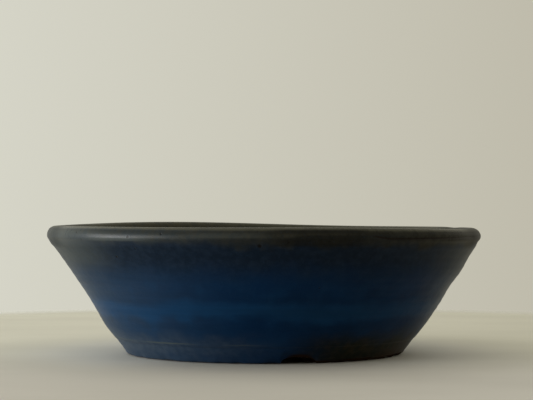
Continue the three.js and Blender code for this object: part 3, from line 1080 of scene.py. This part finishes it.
# The table, and how far from the pot's axis it reaches, fades and is drawn
# Lighter on the left than on the right: painted light falling off to the right
TABLE_LEFT = colour(233, 231, 219)
TABLE_RIGHT = colour(222, 219, 205)
# Darker towards the front: painted shade
TABLE_SHADED_FRONT = colour(212, 208, 202)
# Paler round the foot: a painted pool of light that lightens the pot's shadow
TABLE_LIT_AT_FOOT = colour(252, 250, 244)
TABLE_WORN = colour(150, 146, 136)
TABLE_REACH = 335 * MM
TABLE_FADE = 22 * MM
TABLE_MARGIN = 60 * MM
TABLE_SIDES = 128  # it is drawn as a disc
TABLE_DROP = 0.2 * MM  # it lies this far under the pot, so that their faces never share a plane

# The wall behind, across the view, painted lighter on the left than on the right as light falls off,
# and the light of the room
WALL_LEFT = colour(214, 213, 200)
WALL_RIGHT = colour(190, 186, 170)
WALL_SPREAD = 0.16  # sine of the angle from the middle of the view to either colour
RAYS_THAT_SEE = ("Camera", "Glossy", "Transmission")
LIGHT_ABOVE = 1.27
LIGHT_AROUND = 0.08
LIGHT_FROM = (0.02, 0.32, 0.94)


def table_top():
    """A pale table that fades into the background, painted lighter on the left, with painted shade in
    front and a painted pool of light round the foot.
    """
    f = RoundFinish("pale_table")
    # A painted pool of light round the foot, which lightens the pot's shadow on the table
    lit_near_foot = f.radius.fall(75 * MM, 130 * MM) * f.back.rise(-0.98, -0.6)
    worn = f.noise(60 * MM, detail=4, stretch=(0.4, 1, 1)).rise(0.3, 0.7)
    # Lighter on the left and darker in front: painted light and painted shade
    pale = f.mix(f.x.rise(-200 * MM, 200 * MM), TABLE_LEFT, TABLE_RIGHT)
    pale = f.mix(f.y.fall(-150 * MM, 60 * MM), pale, TABLE_SHADED_FRONT)
    pale = f.mix(lit_near_foot * 0.7, pale, TABLE_LIT_AT_FOOT)
    f.surface(Base_Color=f.mix(worn * 0.12, pale, TABLE_WORN), Roughness=0.7)
    edge = f.radius.rise(TABLE_REACH - TABLE_FADE, TABLE_REACH + TABLE_FADE)
    clear = f.add("ShaderNodeBsdfTransparent", {}, {})
    opaque = Value(f, f.shader.outputs[0])
    faded = f.add("ShaderNodeMixShader", {}, {0: edge, 1: opaque, 2: clear})
    f.tree.links.new(faded.socket, f.tree.nodes["Material Output"].inputs["Surface"])
    return f.material


def stage():
    """The table, which is no part of the pot."""
    maker = bmesh.new()
    bmesh.ops.create_circle(
        maker, cap_ends=True, segments=TABLE_SIDES, radius=TABLE_REACH + TABLE_MARGIN,
        matrix=Matrix.Translation((0, 0, -TABLE_DROP)),
    )
    new_object("table", maker, table_top())


def room():
    """Soft light, mostly from above, and a pale wall where the camera or a reflection sees it, painted
    lighter on the left.
    """
    world = bpy.data.worlds.new("room")
    bpy.context.scene.world = world
    n = Nodes(world, "Background", "Generated")
    # Lighter on the left than on the right: painted light falling off across the view
    wall = n.mix((n.x + WALL_SPREAD) / (2 * WALL_SPREAD), WALL_LEFT, WALL_RIGHT)
    rays = [n.add("ShaderNodeLightPath", {}, {}, f"Is {kind} Ray") for kind in RAYS_THAT_SEE]
    seen = rays[0] + rays[1] + rays[2]
    x, y, z = LIGHT_FROM
    above = (n.x * x + n.y * y + n.z * z).rise(-0.1, 0.9)
    n.surface(Color=wall, Strength=seen + (1 - seen) * (above * LIGHT_ABOVE + LIGHT_AROUND))


def lamp(name, place, width, height, power):
    """A soft lamp that faces the pot."""
    light = bpy.data.lights.new(name, "AREA")
    light.shape = "RECTANGLE"
    light.size = width
    light.size_y = height
    light.energy = power
    holder = bpy.data.objects.new(name, light)
    holder.location = place
    direction = Vector((0, 0, HEIGHT / 2)) - Vector(place)
    holder.rotation_euler = direction.to_track_quat("-Z", "Y").to_euler()
    bpy.context.collection.objects.link(holder)


def lamps():
    """Low daylight from the left, and softer, wider light from the room round it."""
    lamp("window", (-1.4, -0.29, 0.03), width=0.5, height=0.25, power=5.6)
    lamp("room_beyond", (-1.4, -0.4, 0.2), width=1.4, height=0.5, power=13)


def photographs_camera():
    """The camera that took the photograph, which looks level, and a plain display of colours."""
    camera = bpy.data.objects.new("camera", bpy.data.cameras.new("camera"))
    camera.location = CAMERA_PLACE
    camera.rotation_euler = (math.radians(90), 0, 0)
    camera.data.sensor_width = SENSOR
    camera.data.lens = SENSOR * FOCAL_PIXELS / PHOTO_WIDTH
    camera.data.shift_y = HORIZON_DROP / PHOTO_WIDTH
    bpy.context.collection.objects.link(camera)
    bpy.context.scene.camera = camera
    bpy.context.scene.view_settings.view_transform = "Standard"


photographs_camera()
pot()
screens_and_clips()
stage()
room()
lamps()
